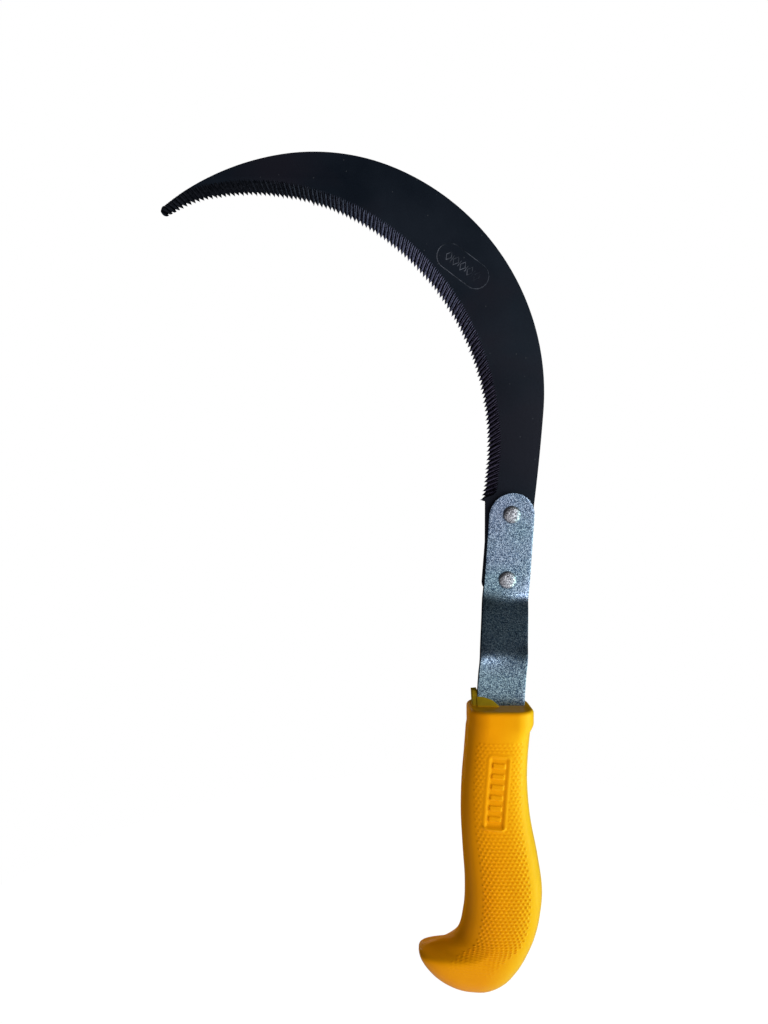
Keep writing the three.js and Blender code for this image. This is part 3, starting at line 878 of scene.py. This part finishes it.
class Nodes:
    """A short way to build a material's nodes."""

    def __init__(self, name):
        self.material = bpy.data.materials.new(name)
        self.material.use_nodes = True
        self.tree = self.material.node_tree
        self.shader = self.tree.nodes["Principled BSDF"]
        self.place = self.add("ShaderNodeTexCoord").outputs["Object"]

    def add(self, kind, **settings):
        node = self.tree.nodes.new(kind)
        for key, value in settings.items():
            setattr(node, key, value)
        return node

    def link(self, source, target):
        self.tree.links.new(source, target)

    def fill(self, node, **values):
        for key, value in values.items():
            node.inputs[key].default_value = value
        return node

    def along_axis(self, axis):
        """How far along one of the row frame's axes a point is, in metres."""
        split = self.add("ShaderNodeSeparateXYZ")
        self.link(self.place, split.inputs[0])
        return split.outputs[axis]

    def above_mouth(self):
        """How far a point is above the handle's mouth, in metres."""
        return self.maths("SUBTRACT", self.along_axis("Z"), MOUTH[2] * MM)

    def noise(self, scale, detail=4.0, roughness=0.55, place=None):
        node = self.add("ShaderNodeTexNoise")
        self.fill(node, Scale=scale, Detail=detail, Roughness=roughness)
        self.link(place or self.place, node.inputs["Vector"])
        return node.outputs["Fac"]

    def voronoi(self, scale, feature="F1", output="Distance", place=None):
        node = self.add("ShaderNodeTexVoronoi", feature=feature)
        self.fill(node, Scale=scale)
        self.link(place or self.place, node.inputs["Vector"])
        return node.outputs[output]

    def stretched(self, scale, turn=(0, 0, 0)):
        node = self.add("ShaderNodeMapping")
        node.inputs["Scale"].default_value = scale
        node.inputs["Rotation"].default_value = turn
        self.link(self.place, node.inputs["Vector"])
        return node.outputs["Vector"]

    def ramp(self, source, *stops):
        node = self.add("ShaderNodeValToRGB")
        elements = node.color_ramp.elements
        while len(elements) < len(stops):
            elements.new(0.5)
        for element, (position, colour) in zip(elements, stops):
            element.position = position
            element.color = (*colour, 1) if isinstance(colour, tuple) else (*(colour,) * 3, 1)
        self.link(source, node.inputs["Fac"])
        return node.outputs["Color"]

    def mix(self, factor, a, b, blend="MIX"):
        node = self.add("ShaderNodeMix", data_type="RGBA", blend_type=blend)
        for socket, value in ((node.inputs[0], factor), (node.inputs[6], a), (node.inputs[7], b)):
            if isinstance(value, bpy.types.NodeSocket):
                self.link(value, socket)
            elif isinstance(value, tuple):
                socket.default_value = (*value, 1)
            else:
                socket.default_value = value
        return node.outputs[2]

    def maths(self, operation, a, b=0.0):
        node = self.add("ShaderNodeMath", operation=operation)
        for socket, value in zip(node.inputs, (a, b)):
            if isinstance(value, bpy.types.NodeSocket):
                self.link(value, socket)
            else:
                socket.default_value = value
        return node.outputs[0]

    def bump(self, height, distance, strength=1.0, under=None):
        node = self.add("ShaderNodeBump")
        self.fill(node, Strength=strength, Distance=distance)
        self.link(height, node.inputs["Height"])
        if under:
            self.link(under, node.inputs["Normal"])
        return node.outputs["Normal"]

    def into(self, **sockets):
        for key, value in sockets.items():
            socket = self.shader.inputs[SHADER_SOCKETS[key]]
            if isinstance(value, bpy.types.NodeSocket):
                self.link(value, socket)
            else:
                socket.default_value = (*value, 1) if isinstance(value, tuple) else value


def blackened_steel():
    """Oiled, blackened sheet, with clouds of blue and violet, scratches and pits."""
    n = Nodes("blackened_steel")
    clouds = n.noise(28, 5)
    tints = n.noise(17, 3, place=n.stretched((1, 1, 1), (0.4, 0.2, 0.9)))
    scratches = n.noise(1, 4, place=n.stretched((260, 900, 1600), (0, 0.5, 0)))
    pits = n.voronoi(230)
    colour = n.ramp(clouds, (0.3, (0.0035, 0.0055, 0.0100)), (0.7, (0.0095, 0.0120, 0.0190)))
    colour = n.mix(n.ramp(tints, (0.47, 0.0), (0.62, 0.7)), colour, (0.0105, 0.0088, 0.0140))
    scratched = n.maths("MULTIPLY", n.ramp(scratches, (0.66, 0.0), (0.8, 1.0)), 0.2)
    colour = n.mix(scratched, colour, (0.04, 0.042, 0.05))
    colour = n.mix(n.ramp(pits, (0.035, 0.5), (0.06, 0.0)), colour, (0.09, 0.09, 0.1))
    n.into(colour=colour, roughness=n.ramp(clouds, (0.25, 0.40), (0.75, 0.52)), metallic=0.0)
    n.into(specular=0.07, specular_tint=(0.75, 0.85, 1.0))
    under = n.bump(n.noise(16, 2), 0.0006, 0.5)
    n.into(normal=n.bump(n.noise(900, 3), 0.00004, 0.6, under))
    return n.material


def ground_flutes():
    """Bare ground steel, darkened towards the blade's tip by painted shade."""
    n = Nodes("ground_flutes")
    streaks = n.noise(1100, 4)
    bare = n.ramp(streaks, (0.3, (0.014, 0.013, 0.024)), (0.75, (0.060, 0.052, 0.084)))
    # Painted shade: the flutes take the dark colour towards the tip, where the row frame's X falls
    # from -30 mm to -85 mm.
    dark = n.ramp(streaks, (0.3, (0.004, 0.005, 0.008)), (0.75, (0.020, 0.022, 0.030)))
    reach = n.add("ShaderNodeMapRange", interpolation_type="SMOOTHSTEP")
    n.fill(reach, **{"From Min": -0.085, "From Max": -0.03})
    n.link(n.along_axis("X"), reach.inputs["Value"])
    n.into(colour=n.mix(reach.outputs[0], dark, bare), metallic=1.0)
    n.into(roughness=n.ramp(streaks, (0.2, 0.24), (0.8, 0.38)))
    n.into(normal=n.bump(streaks, 0.00003, 0.5))
    return n.material


def worn_stamp():
    """The stamp's lines, rubbed bare in places."""
    n = Nodes("worn_stamp")
    wear = n.noise(150, 3)
    colour = n.ramp(wear, (0.42, (0.02, 0.025, 0.035)), (0.62, (0.12, 0.13, 0.16)))
    n.into(colour=colour, roughness=0.4, metallic=1.0)
    n.into(normal=n.bump(n.noise(900, 3), 0.00005, 0.5))
    return n.material


def galvanised_steel():
    """Zinc with a fine dark and light grain, and a little darker where it nears the handle."""
    n = Nodes("galvanised_steel")
    split = n.add("ShaderNodeSeparateColor")
    n.link(n.voronoi(3700, output="Color"), split.inputs[0])
    grain = split.outputs[0]
    soft = n.noise(3500, 3, 0.7)
    patches = n.noise(60, 3)
    speckle = n.maths("ADD", n.maths("MULTIPLY", grain, 0.55), n.maths("MULTIPLY", soft, 0.45))
    dark, middle, light = (0.018, 0.034, 0.066), (0.100, 0.170, 0.275), (0.60, 0.77, 0.92)
    colour = n.ramp(speckle, (0.26, dark), (0.5, middle), (0.75, light))
    colour = n.mix(n.ramp(patches, (0.35, 0.0), (0.7, 0.25)), colour, (0.2, 0.26, 0.33))
    hues = n.ramp(n.noise(26, 2), (0.4, (0.88, 0.98, 0.95)), (0.6, (0.98, 0.92, 1.0)))
    colour = n.mix(1.0, colour, hues, "MULTIPLY")
    # Darker below 14 mm above the mouth, fading out by 19 mm.
    height = n.maths("MULTIPLY", n.above_mouth(), 20.0)
    darker_near_mouth = n.ramp(height, (0.28, (0.75, 0.72, 0.70)), (0.38, (0.96, 0.94, 0.92)))
    colour = n.mix(1.0, colour, darker_near_mouth, "MULTIPLY")
    n.into(colour=colour, roughness=n.ramp(speckle, (0.2, 0.40), (0.8, 0.26)), metallic=1.0)
    n.into(normal=n.bump(soft, 0.00006, 0.6))
    return n.material


def hammered_steel():
    """The rivets' bright steel, with hammer marks and dirt in them."""
    n = Nodes("hammered_steel")
    marks = n.noise(1700, 4, 0.6)
    dirt, dull, bright = (0.06, 0.06, 0.075), (0.30, 0.30, 0.34), (0.85, 0.85, 0.9)
    n.into(colour=n.ramp(marks, (0.34, dirt), (0.5, dull), (0.66, bright)), metallic=1.0)
    n.into(roughness=n.ramp(marks, (0.3, 0.55), (0.7, 0.38)))
    n.into(normal=n.bump(marks, 0.00014, 0.8))
    return n.material


def yellow_plastic():
    """Orange yellow, painted lemon towards its back and underside as painted light, and olive at
    the mouth: painted shade on the collar's top, grime on the flash.
    """
    n = Nodes("yellow_plastic")
    flow = n.noise(1, 3, place=n.stretched((60, 60, 22)))
    orange = n.ramp(flow, (0.3, (0.91, 0.310, 0.0010)), (0.7, (0.97, 0.355, 0.0018)))
    # Painted light: a lemon yellow laid over the orange on faces turned towards the back and
    # underside, and more of it further towards the back, standing in for the yellow light on that
    # side.
    facing = n.add("ShaderNodeVectorMath", operation="DOT_PRODUCT")
    n.link(n.add("ShaderNodeTexCoord").outputs["Normal"], facing.inputs[0])
    facing.inputs[1].default_value = (0.8, 0, -0.45)
    across = n.maths("MULTIPLY", n.along_axis("X"), 22.0)
    painted_light_share = n.maths("ADD", facing.outputs["Value"], across)
    colour = n.mix(n.ramp(painted_light_share, (0.0, 0.0), (0.72, 1.0)), orange, (0.87, 0.44, 0.006))
    # Olive above the mouth: painted shade on the collar's top and its upper edge, and grime on the
    # flash.
    rise = n.maths("ADD", n.maths("MULTIPLY", n.above_mouth(), 250.0), 0.5)
    grime_and_painted_shade = n.ramp(rise, (0.3, 0.0), (0.7, 0.85))
    colour = n.mix(grime_and_painted_shade, colour, (0.27, 0.22, 0.012))
    n.into(colour=colour, roughness=n.ramp(n.noise(120, 4), (0.3, 0.28), (0.7, 0.38)), metallic=0.0)
    n.into(specular=0.10, specular_tint=(1.0, 0.8, 0.16))
    under = n.bump(n.noise(90, 3), 0.0002, 0.35)
    n.into(normal=n.bump(n.noise(1600, 3), 0.00003, 0.5, under))
    return n.material


# ---- studio ----

FLOOR_RADIUS = 0.27
FLOOR_SIDES = 96
FLOOR_GLOW = 0.995            # so that the floor shows as pale as the surroundings

# Where the surroundings glow: the direction, how far it spreads in degrees, and how strongly.
WORLD_GLOWS = (
    ((0.5, -0.5, -1), 100, 0.72),
    ((-1, -0.6, -1.2), 70, 0.28),
    ((0.15, -1, -0.3), 60, 0.42),
    ((0.2, -0.6, 0.8), 50, 0.045),
    ((0, 0.1, 1), 90, 0.012),
)


def make_floor(level):
    """A pale disc that the object's own surfaces don't see, so that it doesn't tint them."""
    turns = [2 * math.pi * i / FLOOR_SIDES for i in range(FLOOR_SIDES)]
    rim = [(FLOOR_RADIUS * math.cos(a), FLOOR_RADIUS * math.sin(a), level) for a in turns]
    mesh = bpy.data.meshes.new("studio_floor")
    mesh.from_pydata(rim, [], [tuple(range(FLOOR_SIDES))])
    floor = bpy.data.objects.new("studio_floor", mesh)
    bpy.context.scene.collection.objects.link(floor)
    n = Nodes("pale_floor")
    n.into(colour=(0.1, 0.1, 0.1), roughness=0.9, specular=0.0)
    n.into(glow_colour=(1, 1, 1), glow=FLOOR_GLOW)
    mesh.materials.append(n.material)
    floor.visible_diffuse = floor.visible_glossy = False


def area_light(name, place, target, size, power, colour=(1, 1, 1), reflected=True):
    """A soft rectangular lamp that the camera doesn't see."""
    light = bpy.data.lights.new(name, "AREA")
    light.shape = "RECTANGLE"
    light.size, light.size_y = size
    light.energy = power
    light.color = colour
    lamp = bpy.data.objects.new(name, light)
    lamp.location = place
    lamp.visible_camera = False
    lamp.visible_glossy = reflected
    lamp.rotation_euler = (Vector(target) - Vector(place)).to_track_quat("-Z", "Y").to_euler()
    bpy.context.scene.collection.objects.link(lamp)


class WorldNodes:
    """The studio's surroundings: a glow that depends on the direction."""

    def __init__(self, world):
        self.tree = world.node_tree
        self.tree.nodes.clear()
        self.way = self.tree.nodes.new("ShaderNodeTexCoord").outputs["Generated"]

    def glow(self, towards, spread, strength):
        """A soft patch of light round a direction."""
        dot = self.tree.nodes.new("ShaderNodeVectorMath")
        dot.operation = "DOT_PRODUCT"
        dot.inputs[1].default_value = Vector(towards).normalized()
        self.tree.links.new(self.way, dot.inputs[0])
        fall = self.tree.nodes.new("ShaderNodeMapRange")
        fall.interpolation_type = "SMOOTHSTEP"
        fall.inputs["From Min"].default_value = math.cos(math.radians(spread))
        fall.inputs["From Max"].default_value = 1
        fall.inputs["To Max"].default_value = strength
        self.tree.links.new(dot.outputs["Value"], fall.inputs["Value"])
        return fall.outputs[0]

    def total(self, values):
        """The sum of several sockets' values."""
        total = values[0]
        for value in values[1:]:
            add = self.tree.nodes.new("ShaderNodeMath")
            self.tree.links.new(total, add.inputs[0])
            self.tree.links.new(value, add.inputs[1])
            total = add.outputs[0]
        return total


def make_world():
    """Plain white to the camera, and a set of soft glows to everything else."""
    world = bpy.data.worlds.new("studio")
    bpy.context.scene.world = world
    world.use_nodes = True
    n = WorldNodes(world)
    glows = [n.glow(*glow) for glow in WORLD_GLOWS]
    lighting = n.tree.nodes.new("ShaderNodeBackground")
    n.tree.links.new(n.total(glows), lighting.inputs["Color"])
    white = n.tree.nodes.new("ShaderNodeBackground")
    white.inputs["Color"].default_value = (1, 1, 1, 1)
    rays = n.tree.nodes.new("ShaderNodeLightPath")
    choose = n.tree.nodes.new("ShaderNodeMixShader")
    n.tree.links.new(rays.outputs["Is Camera Ray"], choose.inputs["Fac"])
    n.tree.links.new(lighting.outputs[0], choose.inputs[1])
    n.tree.links.new(white.outputs[0], choose.inputs[2])
    output = n.tree.nodes.new("ShaderNodeOutputWorld")
    n.tree.links.new(choose.outputs[0], output.inputs["Surface"])


CAMERA_PLACE = np.array([-48.7, -324.5, 81.3])   # in the design frame
CAMERA_LENS = 27.04


def make_camera():
    """Looks level along +Y, from in front of the hollow of the crescent."""
    data = bpy.data.cameras.new("camera")
    data.lens = CAMERA_LENS
    data.sensor_width = 36
    data.clip_start = 0.01
    camera = bpy.data.objects.new("camera", data)
    camera.location = (CAMERA_PLACE + MOUTH) * MM
    camera.rotation_euler = (math.pi / 2, 0, 0)
    bpy.context.scene.collection.objects.link(camera)
    bpy.context.scene.camera = camera


make_blade(blackened_steel(), ground_flutes(), worn_stamp())
make_strap(galvanised_steel())
RIVET_MATERIAL = hammered_steel()
for node in RIVETS:
    make_rivet(node, RIVET_MATERIAL)
make_handle(yellow_plastic())

make_floor(cad_box[0].z)
area_light("key", (0.98, -0.27, -0.1), (0, 0, 0.03), (0.7, 1.1), 11.2, (0.61, 1.0, 0.9))
area_light("low_window", (0.56, -0.78, 0.40), (0, 0, 0.05), (0.5, 0.28), 2.4, (0.97, 0.97, 1.0))
area_light("front_fill", (0.64, -0.78, -0.15), (0, 0, 0.02), (0.6, 0.4), 1.4)
area_light("back_fill", (-0.3, 0.93, 0.12), (0, 0, 0.03), (0.6, 0.8), 8.5, reflected=False)
make_world()
make_camera()
bpy.context.scene.view_settings.view_transform = "Standard"
